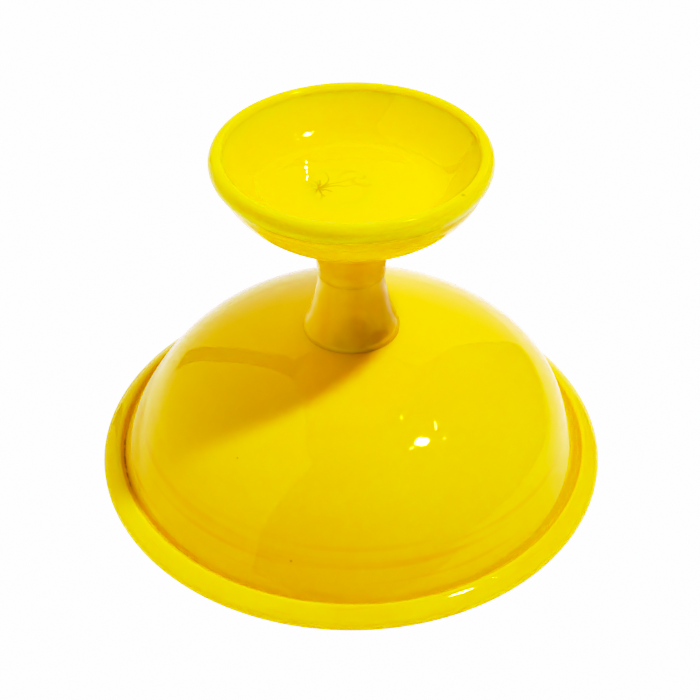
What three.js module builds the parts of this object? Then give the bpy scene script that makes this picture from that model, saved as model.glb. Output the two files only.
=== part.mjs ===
// A footed glass bowl (a compote), blown by hand in two layers of yellow glass. It rests upside
// down on the rim of its bowl with its foot in the air; turned over, it stands on the foot.
// Each gather and each hot-worked bit of glass is its own solid, revolved about the bowl's axis.
// Millimetres, +Z up. The origin is the middle of the bowl's rim, on the plane that it rests on.

import * as THREE from "three";

// Driving dimensions: the three outer sizes first, then the glass itself.
const RIM_RADIUS = 125;
const FOOT_RADIUS = 63;
const HEIGHT = 174.5;
const LAYER_GAP = 0.3;
const SEGMENTS = 48;

// The bowl: its top under the stem, how thick the whole wall is at the axis and at the lip,
// and how much of that wall is the outer casing.
const BOWL_TOP = 79.6;
const BOWL_THICKNESS_AT_AXIS = 9;
const BOWL_THICKNESS_AT_LIP = 4.2;
const CASING_SHARE = 0.55;

// The bowl's outline from the axis to the lip, as tangent arcs that turn downwards (degrees, mm).
const STEM_SEAT = { turn: -10, radius: 132, steps: 3 };
const BOWL_ARCS = [
  { turn: -17, radius: 167, steps: 3 },
  { turn: -13, radius: 91, steps: 2 },
  { turn: -22.5, radius: 69, steps: 4 },
  { turn: -4, radius: 330, steps: 1 },
  { turn: -20, radius: 24, steps: 2 },
];

// The bowl's rim, folded outwards: a flat ring to rest on, a round edge and a sloping top face.
const RIM_EDGE_RADIUS = 3.4;
const RIM_REST_INNER_RADIUS = 116.6;
const RIM_SLOPE = 24;
const RIM_FACE_WIDTH = 7;
const RIM_SHOULDER = { turn: 125, radius: 1.2, steps: 3 };

// The stem: a flare pressed onto the bowl, and a neck drawn down from the foot to meet it.
const FLARE_BASE_RADIUS = 23;
const FLARE_BASE_EDGE = 1.6;
const FLARE_MIDDLE = new THREE.Vector2(18.8, 91);
const WAIST = new THREE.Vector2(15.5, 109.5);
const NECK_BASE_RADIUS = 16.1;
const NECK_HEADING = 86;
const NECK_ARCS = [
  { turn: -4, radius: 140, steps: 2 },
  { turn: -46, radius: 18.1, steps: 4 },
];

// The foot: a shallow dish. Its floor, the bend of its wall, and how thick its lining is.
const DISH_FLOOR = 154.4;
const DISH_FLOOR_RADIUS = 34.1;
const DISH_WALL = { turn: 66, radius: 23.8, steps: 5 };
const DISH_LINING = 2.35;
const UNDERSIDE_HEADING = 34;
const UNDERSIDE_LENGTH = 29;
const UNDERSIDE_BEND = { turn: 40, radius: 31, steps: 4 };

// The foot's rim: a rolled ring, taller than it is wide, ground flat where the foot stands. Its
// section is an ellipse, cut straight between the two seat angles, where the wall carries it.
const FOOT_RING_HALF_WIDTH = 3.6;
const FOOT_RING_HALF_HEIGHT = 5;
const FOOT_RING_FLAT_HALF_WIDTH = 1.2;
const FOOT_RING_SEAT_ANGLES = { outer: -44, inner: 189 };

// The scar left on the dish floor where the iron held the glass, a little off the axis.
const SCAR_RADIUS = 17;
const SCAR_HEIGHT = 1.2;
const SCAR_OFFSET = -6.5;

const glass = (color, roughness = 0.06) =>
  new THREE.MeshStandardMaterial({ color, roughness, metalness: 0 });

const BODY_YELLOW = 0xf0d205;
const RIM_YELLOW = 0xf2e004;
const STEM_AMBER = 0xd09a06;
const SCAR_BROWN = 0xb97a12;

// Directions are angles in a profile's own plane: 0 points away from the axis and 90 upwards.
const radians = THREE.MathUtils.degToRad;

function heading(angle) {
  return new THREE.Vector2(Math.cos(radians(angle)), Math.sin(radians(angle)));
}

// A run of arcs, each tangent to the one before. A positive turn bends it anticlockwise.
function bendPath(start, startAngle, arcs) {
  const points = [start.clone()];
  let angle = startAngle;
  for (const { turn, radius, steps } of arcs) {
    const toCentre = angle + 90 * Math.sign(turn);
    const centre = points.at(-1).clone().addScaledVector(heading(toCentre), radius);
    for (let step = 1; step <= steps; step += 1) {
      const outwards = toCentre + 180 + (turn * step) / steps;
      points.push(centre.clone().addScaledVector(heading(outwards), radius));
    }
    angle += turn;
  }
  return points;
}

// The same path moved to the right of its travel by depthAt(fraction of the way along).
function inset(path, depthAt) {
  return path.map((point, index) => {
    const before = path[Math.max(index - 1, 0)];
    const after = path[Math.min(index + 1, path.length - 1)];
    const along = after.clone().sub(before).normalize();
    const onAxis = point.x === 0;
    const right = onAxis ? new THREE.Vector2(0, -1) : new THREE.Vector2(along.y, -along.x);
    return point.clone().addScaledVector(right, depthAt(index / (path.length - 1)));
  });
}

// Revolves a closed outline about Z. An outline that starts and ends on the axis is closed by it.
function revolve(name, outline, material) {
  const points = [...outline];
  const endsOnAxis = points[0].x === 0 && points.at(-1).x === 0;
  if (!endsOnAxis) {
    points.push(points[0].clone());
  }
  if (THREE.ShapeUtils.area(points) < 0) {
    points.reverse();
  }
  const geometry = new THREE.LatheGeometry(points, SEGMENTS);
  geometry.rotateX(Math.PI / 2);
  const mesh = new THREE.Mesh(geometry, material);
  mesh.name = name;
  return mesh;
}

// A layer of glass between two paths that run the same way, out from the axis.
function layer(name, outer, inner, material) {
  return revolve(name, [...outer, ...inner.toReversed()], material);
}

function bowlOutline() {
  return bendPath(new THREE.Vector2(0, BOWL_TOP), 0, [STEM_SEAT, ...BOWL_ARCS]);
}

function bowlLayers() {
  const outside = bowlOutline();
  const wall = (fraction) =>
    THREE.MathUtils.lerp(BOWL_THICKNESS_AT_AXIS, BOWL_THICKNESS_AT_LIP, fraction);
  const casingInside = inset(outside, (fraction) => CASING_SHARE * wall(fraction));
  const liningOutside = inset(outside, (fraction) => CASING_SHARE * wall(fraction) + LAYER_GAP);
  const liningInside = inset(outside, wall);
  return [
    layer("bowl_outer_casing", outside, casingInside, glass(BODY_YELLOW)),
    layer("bowl_inner_lining", liningOutside, liningInside, glass(BODY_YELLOW)),
  ];
}

// The rim's section, anticlockwise from the inner end of the ring that it rests on.
function bowlRimFold() {
  const restInner = new THREE.Vector2(RIM_REST_INNER_RADIUS, 0);
  const restOuter = new THREE.Vector2(RIM_RADIUS - RIM_EDGE_RADIUS, 0);
  const edgeTurn = 180 - RIM_SLOPE;
  const edge = bendPath(restOuter, 0, [
    { turn: 90, radius: RIM_EDGE_RADIUS, steps: 4 },
    { turn: edgeTurn - 90, radius: RIM_EDGE_RADIUS, steps: 3 },
  ]);
  const faceEnd = edge.at(-1).clone().addScaledVector(heading(edgeTurn), RIM_FACE_WIDTH);
  const shoulder = bendPath(faceEnd, edgeTurn, [RIM_SHOULDER]);
  return revolve("bowl_rim_fold", [restInner, ...edge, ...shoulder], glass(RIM_YELLOW));
}

// A trumpet whose hollow base follows the top of the bowl, with a small upright edge round it.
function stemFlare() {
  const seat = bendPath(new THREE.Vector2(0, BOWL_TOP), 0, [STEM_SEAT]);
  const base = inset(seat, () => -LAYER_GAP);
  const baseEdge = new THREE.Vector2(FLARE_BASE_RADIUS, base.at(-1).y + FLARE_BASE_EDGE);
  const waistCentre = new THREE.Vector2(0, WAIST.y);
  const outline = [...base, baseEdge, FLARE_MIDDLE, WAIST, waistCentre];
  return revolve("stem_flare", outline, glass(STEM_AMBER));
}

function neckOutline() {
  const base = new THREE.Vector2(NECK_BASE_RADIUS, WAIST.y + LAYER_GAP);
  return bendPath(base, NECK_HEADING, NECK_ARCS);
}

function stemNeck() {
  const side = neckOutline();
  const bottom = new THREE.Vector2(0, side[0].y);
  const top = new THREE.Vector2(0, side.at(-1).y);
  return revolve("stem_neck", [bottom, ...side, top], glass(STEM_AMBER));
}

// The inside of the foot, from the axis out along the floor and up the wall.
function dishOutline() {
  const centre = new THREE.Vector2(0, DISH_FLOOR);
  const floorEdge = new THREE.Vector2(DISH_FLOOR_RADIUS, DISH_FLOOR);
  return [centre, ...bendPath(floorEdge, 0, [DISH_WALL])];
}

// The outside of the foot, which carries on from the top of the neck.
function undersideOutline() {
  const start = neckOutline().at(-1).clone();
  start.y += LAYER_GAP;
  const centre = new THREE.Vector2(0, start.y);
  const bend = start.clone().addScaledVector(heading(UNDERSIDE_HEADING), UNDERSIDE_LENGTH);
  return [centre, start, ...bendPath(bend, UNDERSIDE_HEADING, [UNDERSIDE_BEND])];
}

function footLayers() {
  const dish = dishOutline();
  const liningUnderside = inset(dish, () => DISH_LINING);
  const casingTop = inset(dish, () => DISH_LINING + LAYER_GAP);
  return [
    layer("foot_inner_lining", dish, liningUnderside, glass(BODY_YELLOW)),
    layer("foot_outer_casing", undersideOutline(), casingTop, glass(BODY_YELLOW)),
  ];
}

// Points of an ellipse from one angle to another (degrees, anticlockwise), both ends included.
function ellipseArc(centre, halfWidth, halfHeight, from, to, steps) {
  return Array.from({ length: steps + 1 }, (unused, step) => {
    const direction = heading(from + ((to - from) * step) / steps);
    return new THREE.Vector2(halfWidth, halfHeight).multiply(direction).add(centre);
  });
}

function footRimFold() {
  const { outer, inner } = FOOT_RING_SEAT_ANGLES;
  const flatCosine = FOOT_RING_FLAT_HALF_WIDTH / FOOT_RING_HALF_WIDTH;
  const flatAngle = THREE.MathUtils.radToDeg(Math.acos(flatCosine));
  const flatHeight = FOOT_RING_HALF_HEIGHT * Math.sqrt(1 - flatCosine ** 2);
  const centre = new THREE.Vector2(FOOT_RADIUS - FOOT_RING_HALF_WIDTH, HEIGHT - flatHeight);
  const arc = (from, to, steps) =>
    ellipseArc(centre, FOOT_RING_HALF_WIDTH, FOOT_RING_HALF_HEIGHT, from, to, steps);
  const section = [
    ...arc(outer, 0, 3),
    ...arc(0, flatAngle, 4).slice(1),
    ...arc(180 - flatAngle, inner, 5),
  ];
  return revolve("foot_rim_fold", section, glass(RIM_YELLOW));
}

function pontilScar() {
  const outline = [
    new THREE.Vector2(0, 0),
    new THREE.Vector2(SCAR_RADIUS, 0),
    new THREE.Vector2(SCAR_RADIUS * 0.9, SCAR_HEIGHT * 0.6),
    new THREE.Vector2(SCAR_RADIUS * 0.5, SCAR_HEIGHT),
    new THREE.Vector2(0, SCAR_HEIGHT),
  ];
  const scar = revolve("pontil_scar", outline, glass(SCAR_BROWN, 0.4));
  scar.position.set(SCAR_OFFSET, 0, DISH_FLOOR + LAYER_GAP);
  return scar;
}

const footedBowl = new THREE.Group();
footedBowl.add(...bowlLayers());
footedBowl.add(bowlRimFold());
footedBowl.add(stemFlare());
footedBowl.add(stemNeck());
footedBowl.add(...footLayers());
footedBowl.add(footRimFold());
footedBowl.add(pontilScar());

export default footedBowl;
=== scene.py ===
"""A hand-blown footed glass bowl in opaque yellow, resting upside down on its rim.

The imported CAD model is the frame. Every piece here is turned about the bowl's axis from an
outline, then pushed a little out of true, as blown glass is. Outlines are in millimetres,
as (radius, height) points; meshes, lights and the camera are in metres.
"""

import math
import random

import bpy
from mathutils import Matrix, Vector, noise


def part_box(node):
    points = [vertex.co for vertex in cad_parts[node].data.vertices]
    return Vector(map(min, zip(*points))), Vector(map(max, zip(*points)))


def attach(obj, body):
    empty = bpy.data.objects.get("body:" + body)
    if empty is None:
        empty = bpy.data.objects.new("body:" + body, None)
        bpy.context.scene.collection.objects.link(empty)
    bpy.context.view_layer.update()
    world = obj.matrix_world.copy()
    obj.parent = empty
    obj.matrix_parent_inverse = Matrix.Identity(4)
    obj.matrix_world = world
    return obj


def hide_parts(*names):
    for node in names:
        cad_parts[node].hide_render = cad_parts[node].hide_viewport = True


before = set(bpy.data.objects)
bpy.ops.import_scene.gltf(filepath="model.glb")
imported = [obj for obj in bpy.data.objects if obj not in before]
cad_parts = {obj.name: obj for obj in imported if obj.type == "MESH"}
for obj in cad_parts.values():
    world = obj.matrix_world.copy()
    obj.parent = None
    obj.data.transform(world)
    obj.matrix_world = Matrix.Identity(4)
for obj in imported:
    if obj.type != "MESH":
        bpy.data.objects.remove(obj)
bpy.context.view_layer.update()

MM = 0.001
SEGMENTS = 240
# Spacing of the points along an outline
STEP = 1.2
LINING_THICKNESS = 2.35

# The camera and the key lamp, which the glints on the scar's nibs also need
EYE = Vector((-0.6, -548.4, 503.3))
KEY = Vector((545, -115, 1200))


def node_box_mm(node):
    low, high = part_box(node)
    return Vector(low) / MM, Vector(high) / MM


RIM_RADIUS = node_box_mm("bowl_rim_fold")[1].x
FOOT_RADIUS = node_box_mm("foot_rim_fold")[1].x
HEIGHT = node_box_mm("foot_rim_fold")[1].z
BOWL_TOP = node_box_mm("bowl_outer_casing")[1].z
WAIST_HEIGHT = node_box_mm("stem_flare")[1].z
DISH_FLOOR = node_box_mm("foot_inner_lining")[0].z + LINING_THICKNESS
SCAR_LOW, SCAR_HIGH = node_box_mm("pontil_scar")


# ---- Outlines ----

def heading(angle):
    return Vector((math.cos(math.radians(angle)), math.sin(math.radians(angle))))


def bend_path(start, angle, arcs):
    """A run of tangent arcs. Each is (turn in degrees, radius); a positive turn is anticlockwise."""
    points = [Vector(start)]
    for turn, radius in arcs:
        to_centre = angle + math.copysign(90, turn)
        centre = points[-1] + heading(to_centre) * radius
        steps = max(3, math.ceil(abs(math.radians(turn)) * radius / STEP))
        for step in range(1, steps + 1):
            points.append(centre + heading(to_centre + 180 + turn * step / steps) * radius)
        angle += turn
    return points


def line(start, end):
    """Points along a straight line, both ends included."""
    start, end = Vector(start), Vector(end)
    steps = max(1, math.ceil((end - start).length / STEP))
    return [start.lerp(end, step / steps) for step in range(steps + 1)]


def curve_through(points):
    """A smooth curve through a few given points (Catmull-Rom), ends included."""
    knots = [Vector(point) for point in points]
    knots = [2 * knots[0] - knots[1]] + knots + [2 * knots[-1] - knots[-2]]
    curve = [knots[1]]
    for p0, p1, p2, p3 in zip(knots, knots[1:], knots[2:], knots[3:]):
        steps = max(2, math.ceil((p2 - p1).length / STEP))
        for step in range(1, steps + 1):
            t = step / steps
            curve.append(0.5 * (2 * p1 + (p2 - p0) * t + (2 * p0 - 5 * p1 + 4 * p2 - p3) * t * t
                                + (3 * p1 - 3 * p2 + p3 - p0) * t ** 3))
    return curve


def inset(path, depth_at):
    """The path moved to the right of its travel by depth_at(fraction of its length)."""
    lengths = [0.0]
    for before, after in zip(path, path[1:]):
        lengths.append(lengths[-1] + (after - before).length)
    moved = []
    for index, point in enumerate(path):
        along = (path[min(index + 1, len(path) - 1)] - path[max(index - 1, 0)]).normalized()
        right = Vector((0, -1)) if point.x == 0 else Vector((along.y, -along.x))
        moved.append(point + right * depth_at(lengths[index] / lengths[-1]))
    return moved


def ellipse(centre, half_width, half_height, start, end):
    """Points on an ellipse between two angles in degrees."""
    steps = max(6, math.ceil(abs(end - start) / 8))
    points = []
    for step in range(steps + 1):
        direction = heading(start + (end - start) * step / steps)
        points.append(Vector((centre[0] + half_width * direction.x,
                              centre[1] + half_height * direction.y)))
    return points


def smooth(low, high, value):
    """0 below low, 1 above high, and smooth between them."""
    t = min(max((value - low) / (high - low), 0.0), 1.0)
    return t * t * (3 - 2 * t)


# ---- Hand-blown irregularity ----

BELLY_LEAN = 2.2
OUT_OF_ROUND = 0.0012
FOOT_DROOP = 0.7
FOOT_FULLNESS = 1.1
DISH_CROWN = 0.45
DISH_RIPPLE = 0.035


def bowl_hand(radius, angle, height):
    """The bowl's belly leans to +X between the stem and the rim, and is slightly oval."""
    belly = smooth(22, 45, radius) * (1 - smooth(98, 113, radius))
    oval = 1 + OUT_OF_ROUND * belly * math.cos(2 * angle - 0.8)
    return (radius * oval * math.cos(angle) + BELLY_LEAN * belly,
            radius * oval * math.sin(angle), height)


def rim_hand(radius, angle, height):
    """The folded rim's top waves gently up and down."""
    lift = 1 + 0.03 * math.cos(3 * angle + 0.5) + 0.02 * math.cos(5 * angle + 2.0)
    return (radius * math.cos(angle), radius * math.sin(angle),
            height * lift if height > 5 else height)


def dish_crown(radius):
    """How far the dish's floor rises towards its middle."""
    return DISH_CROWN * (1 - smooth(6, 30, radius))


def foot_hand(radius, angle, height):
    """The foot droops at the back left and is fuller at the front right; its floor ripples."""
    out = smooth(25, 60, radius)
    back_left = max(0.0, math.cos(angle - math.radians(125))) ** 2
    front_right = max(0.0, math.cos(angle + math.radians(50)))
    below_rim = 1 - smooth(160, 166, height)
    wide = radius + FOOT_FULLNESS * out * below_rim * front_right
    x, y = wide * math.cos(angle), wide * math.sin(angle)
    if abs(height - DISH_FLOOR) < 1 and radius < DISH_FLOOR_RADIUS + 4:
        ripple = noise.noise(Vector((x / 5, y / 3.2, 7.7)))
        height += DISH_RIPPLE * ripple + dish_crown(radius)
    return x, y, height - FOOT_DROOP * out * back_left


def stem_hand(radius, angle, height):
    """The stem was pinched round by hand, so it is very slightly lobed."""
    lobes = 1 + 0.004 * math.cos(3 * angle + 1.1) + 0.003 * math.cos(2 * angle - 0.6 + height / 9)
    return radius * lobes * math.cos(angle), radius * lobes * math.sin(angle), height


# ---- Meshes ----

def add_mesh(name, vertices, faces, material):
    mesh = bpy.data.meshes.new(name)
    mesh.from_pydata([Vector(v) * MM for v in vertices], [], faces)
    mesh.materials.append(material)
    mesh.validate()
    mesh.update()
    piece = bpy.data.objects.new(name, mesh)
    bpy.context.scene.collection.objects.link(piece)
    return piece


def turned(name, outline, material, hand, segments=SEGMENTS):
    """Revolves an outline into a closed mesh; hand says where each (radius, angle, height) goes."""
    on_axis = outline[0].x == 0 and outline[-1].x == 0
    ring_points = outline[1:-1] if on_axis else outline
    vertices = []
    for point in ring_points:
        for segment in range(segments):
            angle = math.tau * segment / segments
            vertices.append(hand(point.x, angle, point.y))
    count = len(ring_points)
    last_ring = count - 1 if on_axis else count
    faces = []
    for ring in range(last_ring):
        here, there = ring * segments, (ring + 1) % count * segments
        for segment in range(segments):
            after = (segment + 1) % segments
            faces.append((here + segment, here + after, there + after, there + segment))
    if on_axis:
        for end, ring in ((outline[0], 0), (outline[-1], count - 1)):
            pole = len(vertices)
            vertices.append(hand(0.0, 0.0, end.y))
            start = ring * segments
            for segment in range(segments):
                edge = (start + segment, start + (segment + 1) % segments)
                faces.append((*reversed(edge), pole) if ring == 0 else (*edge, pole))
    piece = add_mesh(name, vertices, faces, material)
    face_outwards(piece)
    piece.data.polygons.foreach_set("use_smooth", [True] * len(piece.data.polygons))
    return piece


def face_outwards(piece):
    """Turns the faces of a closed mesh so that its volume is positive."""
    mesh = piece.data
    volume = 0.0
    for face in mesh.polygons:
        corners = [mesh.vertices[index].co for index in face.vertices]
        for second, third in zip(corners[1:], corners[2:]):
            volume += corners[0].dot(second.cross(third))
    if volume < 0:
        mesh.flip_normals()


def finish_piece(piece, slot, *nodes):
    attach(piece, "root")
    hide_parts(*nodes)


# ---- Materials ----

LEMON = (0.92, 0.600, 0.0010)
FOOT_YELLOW = (0.93, 0.570, 0.0010)
YELLOW = (0.925, 0.520, 0.0008)
ORANGE = (0.92, 0.300, 0.0006)
AMBER = (0.66, 0.200, 0.0006)
UMBER = (0.25, 0.050, 0.0020)

# How far red, green and blue light travel inside the glass, in metres
LIGHT_REACH = (0.028, 0.0035, 0.0003)
# Near facing, the yellow glass eats the blue of what it mirrors; edge-on it mirrors white
MIRROR_TINT = (1.0, 0.85, 0.12, 1)


class Glass:
    """Builds one glass material: a chain of colour layers into a Principled shader."""

    def __init__(self, name, colour):
        self.material = bpy.data.materials.new(name)
        self.material.use_nodes = True
        self.tree = self.material.node_tree
        self.shader = self.tree.nodes["Principled BSDF"]
        self.shader.inputs["Roughness"].default_value = 0.035
        self.shader.inputs["IOR"].default_value = 1.5
        self.shader.inputs["Specular Tint"].default_value = MIRROR_TINT
        self.shader.inputs["Subsurface Weight"].default_value = 0.5
        self.shader.inputs["Subsurface Radius"].default_value = LIGHT_REACH
        self.shader.inputs["Subsurface Scale"].default_value = 1.0
        self.place = self.node("ShaderNodeTexCoord").outputs["Object"]
        self.height = self.node("ShaderNodeSeparateXYZ", Vector=self.place).outputs["Z"]
        flat = self.node("ShaderNodeVectorMath", "MULTIPLY", _0=self.place, _1=(1, 1, 0))
        self.radius = self.node("ShaderNodeVectorMath", "LENGTH", _0=flat.outputs[0]).outputs["Value"]
        self.colour = (*colour, 1)

    def node(self, kind, operation=None, **inputs):
        """Adds a node; an input is given by its name, with _ for a space, or as _0, _1 by index."""
        made = self.tree.nodes.new(kind)
        if operation:
            made.operation = operation
        for name, value in inputs.items():
            socket = made.inputs[int(name[1:])] if name[0] == "_" else made.inputs[name.replace("_", " ")]
            if isinstance(value, bpy.types.NodeSocket):
                self.tree.links.new(value, socket)
            else:
                socket.default_value = value
        return made

    def math(self, operation, first, second=0.0):
        return self.node("ShaderNodeMath", operation, _0=first, _1=second).outputs[0]

    def ramp(self, value, low, high, to_low=0.0, to_high=1.0):
        """Maps low..high to to_low..to_high, smoothly."""
        made = self.node("ShaderNodeMapRange", Value=value, From_Min=low, From_Max=high,
                         To_Min=to_low, To_Max=to_high)
        made.interpolation_type = "SMOOTHSTEP"
        return made.outputs[0]

    def clouds(self, scale, stretch=(1, 1, 1), detail=2.0):
        """Noise from 0 to 1, in features per metre."""
        where = self.node("ShaderNodeVectorMath", "MULTIPLY", _0=self.place, _1=stretch)
        return self.node("ShaderNodeTexNoise", Vector=where.outputs[0], Scale=scale,
                         Detail=detail).outputs[0]

    def layer(self, colour, amount):
        """Lays a colour over what is there, by an amount from 0 to 1."""
        mix = self.node("ShaderNodeMix", Factor=amount)
        mix.data_type = "RGBA"
        for socket, value in ((mix.inputs[6], self.colour), (mix.inputs[7], (*colour, 1))):
            if isinstance(value, bpy.types.NodeSocket):
                self.tree.links.new(value, socket)
            else:
                socket.default_value = value
        self.colour = mix.outputs[2]

    def near(self, place, core, edge):
        """1 within core of a place, 0 beyond edge; all in metres."""
        away = self.node("ShaderNodeVectorMath", "DISTANCE", _0=self.place, _1=place).outputs["Value"]
        return self.ramp(away, edge, core)

    def speck(self, place, size):
        """A dark seed in the glass."""
        self.layer(UMBER, self.math("MULTIPLY", self.near(place, size * 0.3, size), 0.5))

    def attribute(self, name):
        made = self.node("ShaderNodeAttribute")
        made.attribute_name = name
        return made.outputs["Fac"]

    def finish(self, bump_height, bump_distance):
        """Connects the colour, and a fine unevenness of the surface, given in metres."""
        self.tree.links.new(self.colour, self.shader.inputs["Base Color"])
        bump = self.node("ShaderNodeBump", Height=bump_height, Strength=1.0, Distance=bump_distance)
        self.tree.links.new(bump.outputs[0], self.shader.inputs["Normal"])
        return self.material


def body_glass_material():
    """Cased yellow: cloudy from the lining, with painted shade making it oranger low on the wall towards
    the lip, faintly streaked.
    """
    glass = Glass("body glass", YELLOW)
    glass.layer(LEMON, glass.ramp(glass.clouds(9), 0.42, 0.68, 0, 0.45))
    # Painted shade: the wall turns oranger low down towards the lip, where less light reaches it
    glass.layer(ORANGE, glass.ramp(glass.height, 0.055, 0.005, 0, 0.18))
    level_streaks = glass.ramp(glass.clouds(7, (1, 1, 30), 1.5), 0.52, 0.72, 0, 0.6)
    low_down = glass.ramp(glass.height, 0.045, 0.014)
    glass.layer(ORANGE, glass.math("MULTIPLY", level_streaks, low_down))
    glass.speck((-0.0269, -0.1031, 0.0235), 0.0009)
    glass.speck((0.0437, -0.0296, 0.0685), 0.0007)
    glass.speck((-0.0517, -0.0662, 0.0518), 0.0007)
    return glass.finish(glass.clouds(26, detail=1.0), 0.0003)


def rim_glass_material():
    """The folded edges: lemon with faint lines around them, painted shade in orange underneath, a darker
    line in the groove at the left.
    """
    glass = Glass("rim glass", LEMON)
    glass.layer(YELLOW, glass.ramp(glass.clouds(14), 0.40, 0.70, 0, 0.55))
    glass.layer(ORANGE, glass.ramp(glass.clouds(30, (1, 1, 30)), 0.60, 0.80, 0, 0.25))
    # Painted shade: the fold's underside, which faces the table, is coloured oranger
    glass.layer(ORANGE, glass.ramp(glass.height, 0.0032, 0.0008, 0, 0.8))
    # A darker umber line in the groove, on the left side only, broken up
    in_groove = glass.ramp(glass.radius, 0.1152, 0.1142)
    groove_dark_line = glass.math("MULTIPLY", in_groove, glass.near((-0.112, -0.022, 0.008), 0.012, 0.024))
    broken_up = glass.ramp(glass.clouds(180), 0.45, 0.6, 0.2, 0.9)
    glass.layer(UMBER, glass.math("MULTIPLY", groove_dark_line, broken_up))
    glass.speck((0.0465, -0.0375, 0.1745), 0.0014)
    return glass.finish(glass.clouds(40, detail=1.0), 0.0002)


def stem_glass_material():
    """The solid stem: deep amber, with lengthwise threads."""
    glass = Glass("stem glass", YELLOW)
    glass.shader.inputs["Subsurface Weight"].default_value = 0.2
    glass.layer(AMBER, glass.ramp(glass.clouds(60, (1, 1, 0.12)), 0.35, 0.75, 0.18, 0.58))
    glass.layer(ORANGE, glass.ramp(glass.clouds(25), 0.45, 0.75, 0, 0.3))
    return glass.finish(glass.clouds(70, (1, 1, 0.25), 1.0), 0.0002)


def scar_glass_material():
    """The foot's glass again, stained in its cracks and in the swirl beside them."""
    glass = Glass("scar glass", FOOT_YELLOW)
    glass.shader.inputs["Subsurface Weight"].default_value = 0.1
    crack = glass.attribute("crack")
    swirl = glass.attribute("swirl")
    glass.layer(AMBER, glass.math("MULTIPLY", swirl, 0.35))
    glass.layer(ORANGE, glass.ramp(glass.clouds(110), 0.5, 0.8, 0, 0.25))
    glass.layer(UMBER, glass.math("MULTIPLY", crack, 0.6))
    return glass.finish(glass.clouds(300), 0.0001)


def foot_glass_material():
    """The foot is thinner than the bowl and lets more light through: a clearer yellow."""
    glass = Glass("foot glass", FOOT_YELLOW)
    glass.layer(LEMON, glass.ramp(glass.clouds(16), 0.42, 0.68, 0, 0.6))
    glass.layer(LEMON, glass.ramp(glass.height, 0.162, 0.171, 0, 0.8))
    glass.layer(ORANGE, glass.ramp(glass.height, 0.158, 0.132, 0, 0.5))
    return glass.finish(glass.clouds(30, detail=1.0), 0.0003)


body_glass = body_glass_material()
rim_glass = rim_glass_material()
stem_glass = stem_glass_material()
foot_glass = foot_glass_material()
scar_glass = scar_glass_material()


# ---- The pieces ----

WALL_AT_AXIS = 9.0
WALL_AT_LIP = 4.2
BOWL_ARCS = [(-10, 132), (-17, 167), (-13, 91), (-22.5, 69), (-4, 330), (-12, 24)]


def bowl_wall():
    outside = bend_path((0, BOWL_TOP), 0, BOWL_ARCS)
    inside = inset(outside, lambda f: WALL_AT_AXIS + (WALL_AT_LIP - WALL_AT_AXIS) * f)
    lip_angle = sum(turn for turn, _ in BOWL_ARCS)
    lip = bend_path(outside[-1], lip_angle, [(-180, WALL_AT_LIP / 2)])
    outline = outside + lip[1:-1] + inside[::-1]
    return turned("bowl_wall", outline, body_glass, bowl_hand)


RIM_EDGE_RADIUS = 3.4
RIM_FACE_START = 138
RIM_FACE_BEND = (22, 19)
RIM_CREST_BEND = (116, 1.5)


def bowl_rim():
    """The lip folded outwards: round edge, nearly flat face, tight crest, shallow groove, bead."""
    rest_outer = (RIM_RADIUS - RIM_EDGE_RADIUS, 0)
    top = bend_path(rest_outer, 0, [(RIM_FACE_START, RIM_EDGE_RADIUS), RIM_FACE_BEND, RIM_CREST_BEND])
    in_wall = [Vector((112.6, 7.0)), Vector((110.9, 5.2))]
    inner_bead = curve_through([(110.75, 4.2), (111.6, 1.6), (113.8, 0.3), (116.6, 0.0)])
    outline = top + in_wall + inner_bead
    return turned("bowl_rim", outline, rim_glass, rim_hand)


FLARE_SINKS = 3.2
SEAM_OVERLAP = 0.6


def stem_flare():
    """A cone that swells into a rounded bead where it was pressed onto the bowl."""
    base = BOWL_TOP - FLARE_SINKS
    top = WAIST_HEIGHT + SEAM_OVERLAP
    side = curve_through([
        (22.8, base - 0.8), (23.0, base), (23.15, base + 1.1), (23.1, base + 2.8),
        (22.5, base + 4.8), (21.4, base + 7.2), (20.1, base + 10.4), (18.35, 92.6), (16.95, 98.5),
        (15.95, 103.5), (15.5, WAIST_HEIGHT - 0.6), (15.2, top)])
    outline = [Vector((0, base - 0.8)), *side, Vector((0, top))]
    return turned("stem_flare_glass", outline, stem_glass, stem_hand)


def stem_neck():
    """A collar of a second gather, which stands a little proud of the flare below it."""
    base = WAIST_HEIGHT - 0.4
    side = curve_through([
        (15.3, base), (15.75, base + 0.15), (16.05, base + 0.7), (16.2, base + 1.8), (16.3, 114),
        (16.9, 119.5), (18.5, 124.8), (21.6, 129.6), (26, 133.5), (29, 136.0)])
    outline = [Vector((0, base)), *side, Vector((0, 137))]
    return turned("stem_neck_glass", outline, stem_glass, stem_hand)


DISH_FLOOR_RADIUS = 34.0
DISH_ARCS = [(39, 16), (22, 51.8)]
UNDERSIDE_HEADING = 34
UNDERSIDE_LENGTH = 27
UNDERSIDE_ARCS = [(36, 34), (-31, 4.5)]
FOOT_BEAD = Vector((3.6, 5.0))
FOOT_BEAD_FLAT = 70.5
FOOT_BEAD_CENTRE = (FOOT_RADIUS - FOOT_BEAD.x, HEIGHT - FOOT_BEAD.y * heading(FOOT_BEAD_FLAT).y)
# The wall laps over the bead by this much, so that no seam shows
LAP = 0.03
UNDERSIDE_START = (24.4, 131.9)


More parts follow.
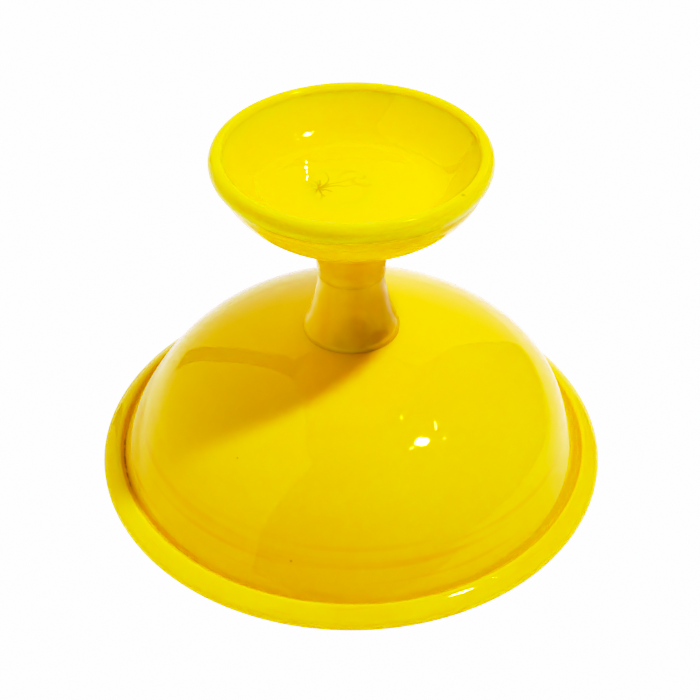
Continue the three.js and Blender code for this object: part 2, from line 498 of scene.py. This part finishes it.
def foot_wall():
    """The dish of the foot. Inside, its wall runs smoothly up into the rolled rim."""
    floor = line((0, DISH_FLOOR), (DISH_FLOOR_RADIUS, DISH_FLOOR))
    dish = floor + bend_path(floor[-1], 0, DISH_ARCS)[1:]
    slope = line(UNDERSIDE_START,
                 Vector(UNDERSIDE_START) + heading(UNDERSIDE_HEADING) * UNDERSIDE_LENGTH)
    underside = slope + bend_path(slope[-1], UNDERSIDE_HEADING, UNDERSIDE_ARCS)[1:]
    underside += ellipse(FOOT_BEAD_CENTRE, FOOT_BEAD.x + LAP, FOOT_BEAD.y + LAP, -54, -34)
    underside += [Vector((60.0, 170.0)), Vector((57.6, 172.9))]
    outline = [*dish, *underside[::-1], Vector((0, UNDERSIDE_START[1]))]
    return turned("foot_wall", outline, foot_glass, foot_hand)


def foot_rim():
    """The rolled bead round the foot, with the narrow flat on top that the foot stands on."""
    outline = ellipse(FOOT_BEAD_CENTRE, *FOOT_BEAD, FOOT_BEAD_FLAT, -180 - FOOT_BEAD_FLAT)
    return turned("foot_rim", outline, rim_glass, foot_hand)


# The scar of the glassmaker's iron. Cracks run out from the break, as (x, y) routes
BREAK = (-14.8, -1.2)
CRACKS = [
    [BREAK, (-17.4, -0.2), (-20.2, -0.5), (-23.0, -1.3)],
    [BREAK, (-17.2, 1.6), (-19.8, 2.2), (-22.6, 3.3)],
    [BREAK, (-17.0, -3.4), (-19.4, -4.2)],
    [BREAK, (-13.6, -4.6), (-13.0, -8.6), (-14.6, -12.2), (-16.0, -14.2)],
    [BREAK, (-15.6, -5.0), (-17.2, -7.8)],
    [BREAK, (-12.2, 1.2), (-10.2, 4.8), (-10.9, 9.8), (-12.2, 14.6)],
    [BREAK, (-14.6, 2.4), (-15.4, 5.2)],
    [BREAK, (-10.8, -0.6), (-7.0, 0.3), (-2.6, -0.4), (3.0, 1.8), (8.4, 3.2)],
    [BREAK, (-9.6, 1.6), (-4.8, 3.0), (-1.0, 5.6)],
]
HAIR_CRACKS = 16
SWIRL = (3.4, 6.8)
SWIRL_RADIUS = 11.0
SWELL = 0.55
SWIRL_HEIGHT = 0.05
CRACK_WIDTH = 0.34
CRACK_DEPTH = 0.22
SCAR_RINGS = 60
SCAR_SEGMENTS = 300


def distance_to_path(point, path):
    nearest = math.inf
    for start, end in zip(path, path[1:]):
        along = end - start
        t = min(max((point - start).dot(along) / along.length_squared, 0.0), 1.0)
        nearest = min(nearest, (point - start - along * t).length)
    return nearest


def hair_cracks():
    """A fan of short fine cracks round the break."""
    chance = random.Random(11)
    hairs = []
    for index in range(HAIR_CRACKS):
        angle = 360 * index / HAIR_CRACKS + chance.uniform(-14, 14)
        length = chance.uniform(3.0, 7.5)
        middle = Vector(BREAK) + heading(angle) * length * 0.5
        hairs.append([BREAK, middle, middle + heading(angle + chance.uniform(-28, 28)) * length * 0.5])
    return hairs


CRACK_PATHS = [curve_through(crack)[::2] for crack in CRACKS + hair_cracks()]


def crack_at(x, y):
    """1 on a crack, 0 away from it; the cracks fade out towards their tips."""
    point = Vector((x, y))
    deepest = 0.0
    for path in CRACK_PATHS:
        across = distance_to_path(point, path) / CRACK_WIDTH
        if across < 3:
            fade = 1 - 0.75 * smooth(2, 18, (point - path[0]).length)
            deepest = max(deepest, fade * math.exp(-across * across))
    return deepest


def swirl_at(x, y):
    """1 on the faint spiral left where the hot scar was melted smooth."""
    offset = Vector((x, y)) - Vector(SWIRL)
    turn = offset.length / SWIRL_RADIUS
    wave = math.sin(9 * turn - math.atan2(offset.y, offset.x) * 2)
    return max(0.0, wave) * (1 - smooth(0.55, 1.1, turn))


def scar():
    """A low lump of melted glass in the dish, with its cracks and swirl as relief and as stain."""
    centre = (SCAR_LOW + SCAR_HIGH) / 2
    radius = (SCAR_HIGH.x - SCAR_LOW.x) / 2
    bottom = DISH_FLOOR - 0.9
    rim = Vector((radius, DISH_FLOOR - 0.05))
    outline = [Vector((0, bottom)), Vector((radius * 0.98, bottom))]
    for ring in range(SCAR_RINGS + 1):
        outline.append(rim.lerp(Vector((0, DISH_FLOOR)), ring / SCAR_RINGS))

    def melt(r, angle, height):
        x, y = centre.x + r * math.cos(angle), centre.y + r * math.sin(angle)
        if height > bottom:
            lump = 0.75 + 0.35 * noise.noise(Vector((x / 6, y / 6, 3.1)))
            height += dish_crown(math.hypot(x, y))
            height += SWELL * lump * (1 - smooth(0.25, 0.97, r / radius))
            height += SWIRL_HEIGHT * swirl_at(x, y)
            height -= CRACK_DEPTH * crack_at(x, y)
        return x, y, height

    piece = turned("scar", outline, scar_glass, melt, SCAR_SEGMENTS)
    cracks = piece.data.attributes.new("crack", "FLOAT", "POINT")
    swirls = piece.data.attributes.new("swirl", "FLOAT", "POINT")
    for index, vertex in enumerate(piece.data.vertices):
        x, y = vertex.co.x / MM, vertex.co.y / MM
        cracks.data[index].value = crack_at(x, y)
        swirls.data[index].value = swirl_at(x, y)
    return piece


# Broken nibs of glass near the scar, as (x, y, radius)
NIBS = [(-20.5, 20.2, 0.55), (-20.5, 15.7, 0.6), (-20.0, 12.2, 0.36), (-19.7, 8.4, 0.42),
        (-20.0, 5.6, 0.28)]
NIB_SIDES = 6
NIB_HEIGHT = 1.2
NIB_DEPTH = 0.4


def nib(number, x, y, radius):
    """A small wedge with one flat broken face, which is turned so that it glints in the key light."""
    foot = Vector((x, y, DISH_FLOOR - NIB_DEPTH))
    face = ((EYE - foot).normalized() + (KEY - foot).normalized()).normalized()
    bottom, top = [], []
    for side in range(NIB_SIDES):
        corner = heading(360 * side / NIB_SIDES + 40 * number) * radius
        bottom.append(foot + Vector((*corner, 0)))
        slope = -(face.x * corner.x + face.y * corner.y) / face.z
        top.append(foot + Vector((*corner, NIB_HEIGHT + slope)))
    faces = [tuple(reversed(range(NIB_SIDES))), tuple(range(NIB_SIDES, 2 * NIB_SIDES))]
    for side in range(NIB_SIDES):
        after = (side + 1) % NIB_SIDES
        faces.append((side, after, after + NIB_SIDES, side + NIB_SIDES))
    piece = add_mesh(f"scar_nib_{number}", bottom + top, faces, rim_glass)
    face_outwards(piece)
    return piece


finish_piece(bowl_wall(), "body_glass", "bowl_outer_casing", "bowl_inner_lining")
finish_piece(bowl_rim(), "rim_glass", "bowl_rim_fold")
finish_piece(stem_flare(), "stem_glass", "stem_flare")
finish_piece(stem_neck(), "stem_glass", "stem_neck")
finish_piece(foot_wall(), "body_glass", "foot_outer_casing", "foot_inner_lining")
finish_piece(foot_rim(), "rim_glass", "foot_rim_fold")
finish_piece(scar(), "scar_glass", "pontil_scar")
for number, (x, y, radius) in enumerate(NIBS, 1):
    finish_piece(nib(number, x, y, radius), "rim_glass")


# ---- Floor, light and camera ----

# The table and what is seen beyond it: how white each is, and how much it glows
TABLE_LOOK = (0.95, 0.35)
BURNT_OUT_LOOK = (0.3, 1.6)
SURROUND_LOOK = (0, 1.9)
DARK_EDGE_LOOK = (0.08, 0)


def studio_material(name, whiteness, glow):
    material = bpy.data.materials.new(name)
    material.use_nodes = True
    shader = material.node_tree.nodes["Principled BSDF"]
    shader.inputs["Base Color"].default_value = (whiteness, whiteness, whiteness, 1)
    shader.inputs["Roughness"].default_value = 0.7
    shader.inputs["Emission Color"].default_value = (1, 1, 1, 1)
    shader.inputs["Emission Strength"].default_value = glow
    return material


def show_to_camera_only(thing):
    thing.visible_diffuse = False
    thing.visible_glossy = False
    thing.visible_transmission = False
    thing.visible_shadow = False


def floor_plane(name, look, height):
    bpy.ops.mesh.primitive_plane_add(size=8, location=(0, 0, height))
    plane = bpy.context.object
    plane.name = name
    plane.data.materials.append(studio_material(name, *look))
    return plane


def floor():
    """The table, once as the glass sees it and once as the camera does: burnt out to white."""
    table = floor_plane("studio_table", TABLE_LOOK, -0.0003)
    table.visible_camera = False
    burnt_out = floor_plane("studio_white", BURNT_OUT_LOOK, -0.0005)
    show_to_camera_only(burnt_out)


def white_surround():
    """What the camera sees beyond the table. It neither lights the glass nor shows in it."""
    bpy.ops.mesh.primitive_uv_sphere_add(radius=9, segments=48, ring_count=24)
    surround = bpy.context.object
    surround.name = "studio_surround"
    surround.data.materials.append(studio_material("studio_surround", *SURROUND_LOOK))
    show_to_camera_only(surround)


CAMERA_PITCH = 38.86
CAMERA_LENS = 74.62


def camera():
    data = bpy.data.cameras.new("camera")
    data.lens = CAMERA_LENS
    data.sensor_width = 36
    eye = bpy.data.objects.new("camera", data)
    eye.location = EYE * MM
    eye.rotation_euler = (math.radians(90 - CAMERA_PITCH), 0, 0)
    bpy.context.scene.collection.objects.link(eye)
    bpy.context.scene.camera = eye


def lamp_panel(name, location, target, size, brightness):
    """An area light. Its brightness is the radiance that a mirror of it shows."""
    data = bpy.data.lights.new(name, "AREA")
    data.shape = "RECTANGLE"
    data.size, data.size_y = size
    data.energy = brightness * math.pi * size[0] * size[1]
    lamp = bpy.data.objects.new(name, data)
    lamp.location = location
    aim = Vector(target) - Vector(location)
    lamp.rotation_euler = aim.to_track_quat("-Z", "Y").to_euler()
    lamp.visible_camera = False
    bpy.context.scene.collection.objects.link(lamp)


# The room is nearly dark, and a little less so below a tilted plane
ROOM_BRIGHTNESS = 0.023
LOW_ROOM_BRIGHTNESS = 0.056
LOW_ROOM_NORMAL = (-0.32, 0.20, 1.0)
CARD_BRIGHTNESS = 1.25
KEY_BRIGHTNESS = 700
KEY_SIDE = 0.09
KEY_TARGET = (0, 0, 0.08)
# Bright ribs of the key's reflector, as offsets from the lamp and a length
KEY_SPARKS = [(0.075, 0.18, -0.04, 0.07), (-0.06, -0.09, 0.01, 0.05), (0.17, 0.06, -0.08, 0.02),
              (-0.17, 0.19, 0.05, 0.03)]
SPARK_BRIGHTNESS = 110
SPARK_WIDTH = 0.012


def room():
    """The little light that comes from everything but the cards, the lamps and the table."""
    world = bpy.data.worlds.new("studio")
    world.use_nodes = True
    nodes, links = world.node_tree.nodes, world.node_tree.links
    where = nodes.new("ShaderNodeTexCoord")
    above = nodes.new("ShaderNodeVectorMath")
    above.operation = "DOT_PRODUCT"
    above.inputs[1].default_value = LOW_ROOM_NORMAL
    level = nodes.new("ShaderNodeMapRange")
    level.inputs["From Min"].default_value = -0.02
    level.inputs["From Max"].default_value = 0.03
    level.inputs["To Min"].default_value = LOW_ROOM_BRIGHTNESS
    level.inputs["To Max"].default_value = ROOM_BRIGHTNESS
    links.new(where.outputs["Generated"], above.inputs[0])
    links.new(above.outputs["Value"], level.inputs["Value"])
    nodes["Background"].inputs["Color"].default_value = (1, 1, 1, 1)
    links.new(level.outputs[0], nodes["Background"].inputs["Strength"])
    bpy.context.scene.world = world


def studio():
    """A tall white card on the left, a white backdrop behind, and a small hard key lamp."""
    lamp_panel("left_card", (-1.2, 0, 1.9), (0, 0, 1.9), (2.6, 3.8), CARD_BRIGHTNESS)
    lamp_panel("backdrop", (-0.05, 2.4, 1.9), (-0.05, 0, 1.9), (3.4, 3.8), CARD_BRIGHTNESS)
    lamp_panel("key", KEY * MM, KEY_TARGET, (KEY_SIDE, KEY_SIDE), KEY_BRIGHTNESS)
    for number, (x, y, z, length) in enumerate(KEY_SPARKS, 1):
        place = KEY * MM + Vector((x, y, z))
        lamp_panel(f"key_spark_{number}", place, KEY_TARGET, (length, SPARK_WIDTH), SPARK_BRIGHTNESS)


def dark_table_edge():
    """The dark beyond the table's front edge, which shows only where the stem and bowl mirror it."""
    corners = [(-330, -530, 1), (-1300, -2600, 1), (1600, -2600, 1), (700, -530, 1)]
    material = studio_material("studio_dark_edge", *DARK_EDGE_LOOK)
    card = add_mesh("studio_dark_edge", corners, [(0, 1, 2, 3)], material)
    card.visible_camera = False
    card.visible_diffuse = False
    card.visible_shadow = False


# The film's response: straight in the darks and mid-tones, then a soft shoulder up to white
FILM_WHITE = 2.0
FILM_SHOULDER = [(0.5, 0.5), (0.74, 0.70), (1.0, 0.81), (1.26, 0.89), (1.5, 0.96), (1.75, 0.99)]
# Deep yellows lose what little blue they have
FILM_BLUE = [(0.1, 0.0), (0.2, 0.09), (0.35, 0.25), (0.5, 0.43), (0.75, 0.74)]


def film():
    view = bpy.context.scene.view_settings
    view.view_transform = "Standard"
    view.use_curve_mapping = True
    view.curve_mapping.white_level = (FILM_WHITE, FILM_WHITE, FILM_WHITE)
    blue, all_three = view.curve_mapping.curves[2], view.curve_mapping.curves[3]
    for light, shown in FILM_BLUE:
        blue.points.new(light / FILM_WHITE, shown / FILM_WHITE)
    for light, shown in FILM_SHOULDER:
        all_three.points.new(light / FILM_WHITE, shown)
    view.curve_mapping.update()


floor()
white_surround()
room()
studio()
dark_table_edge()
camera()
film()
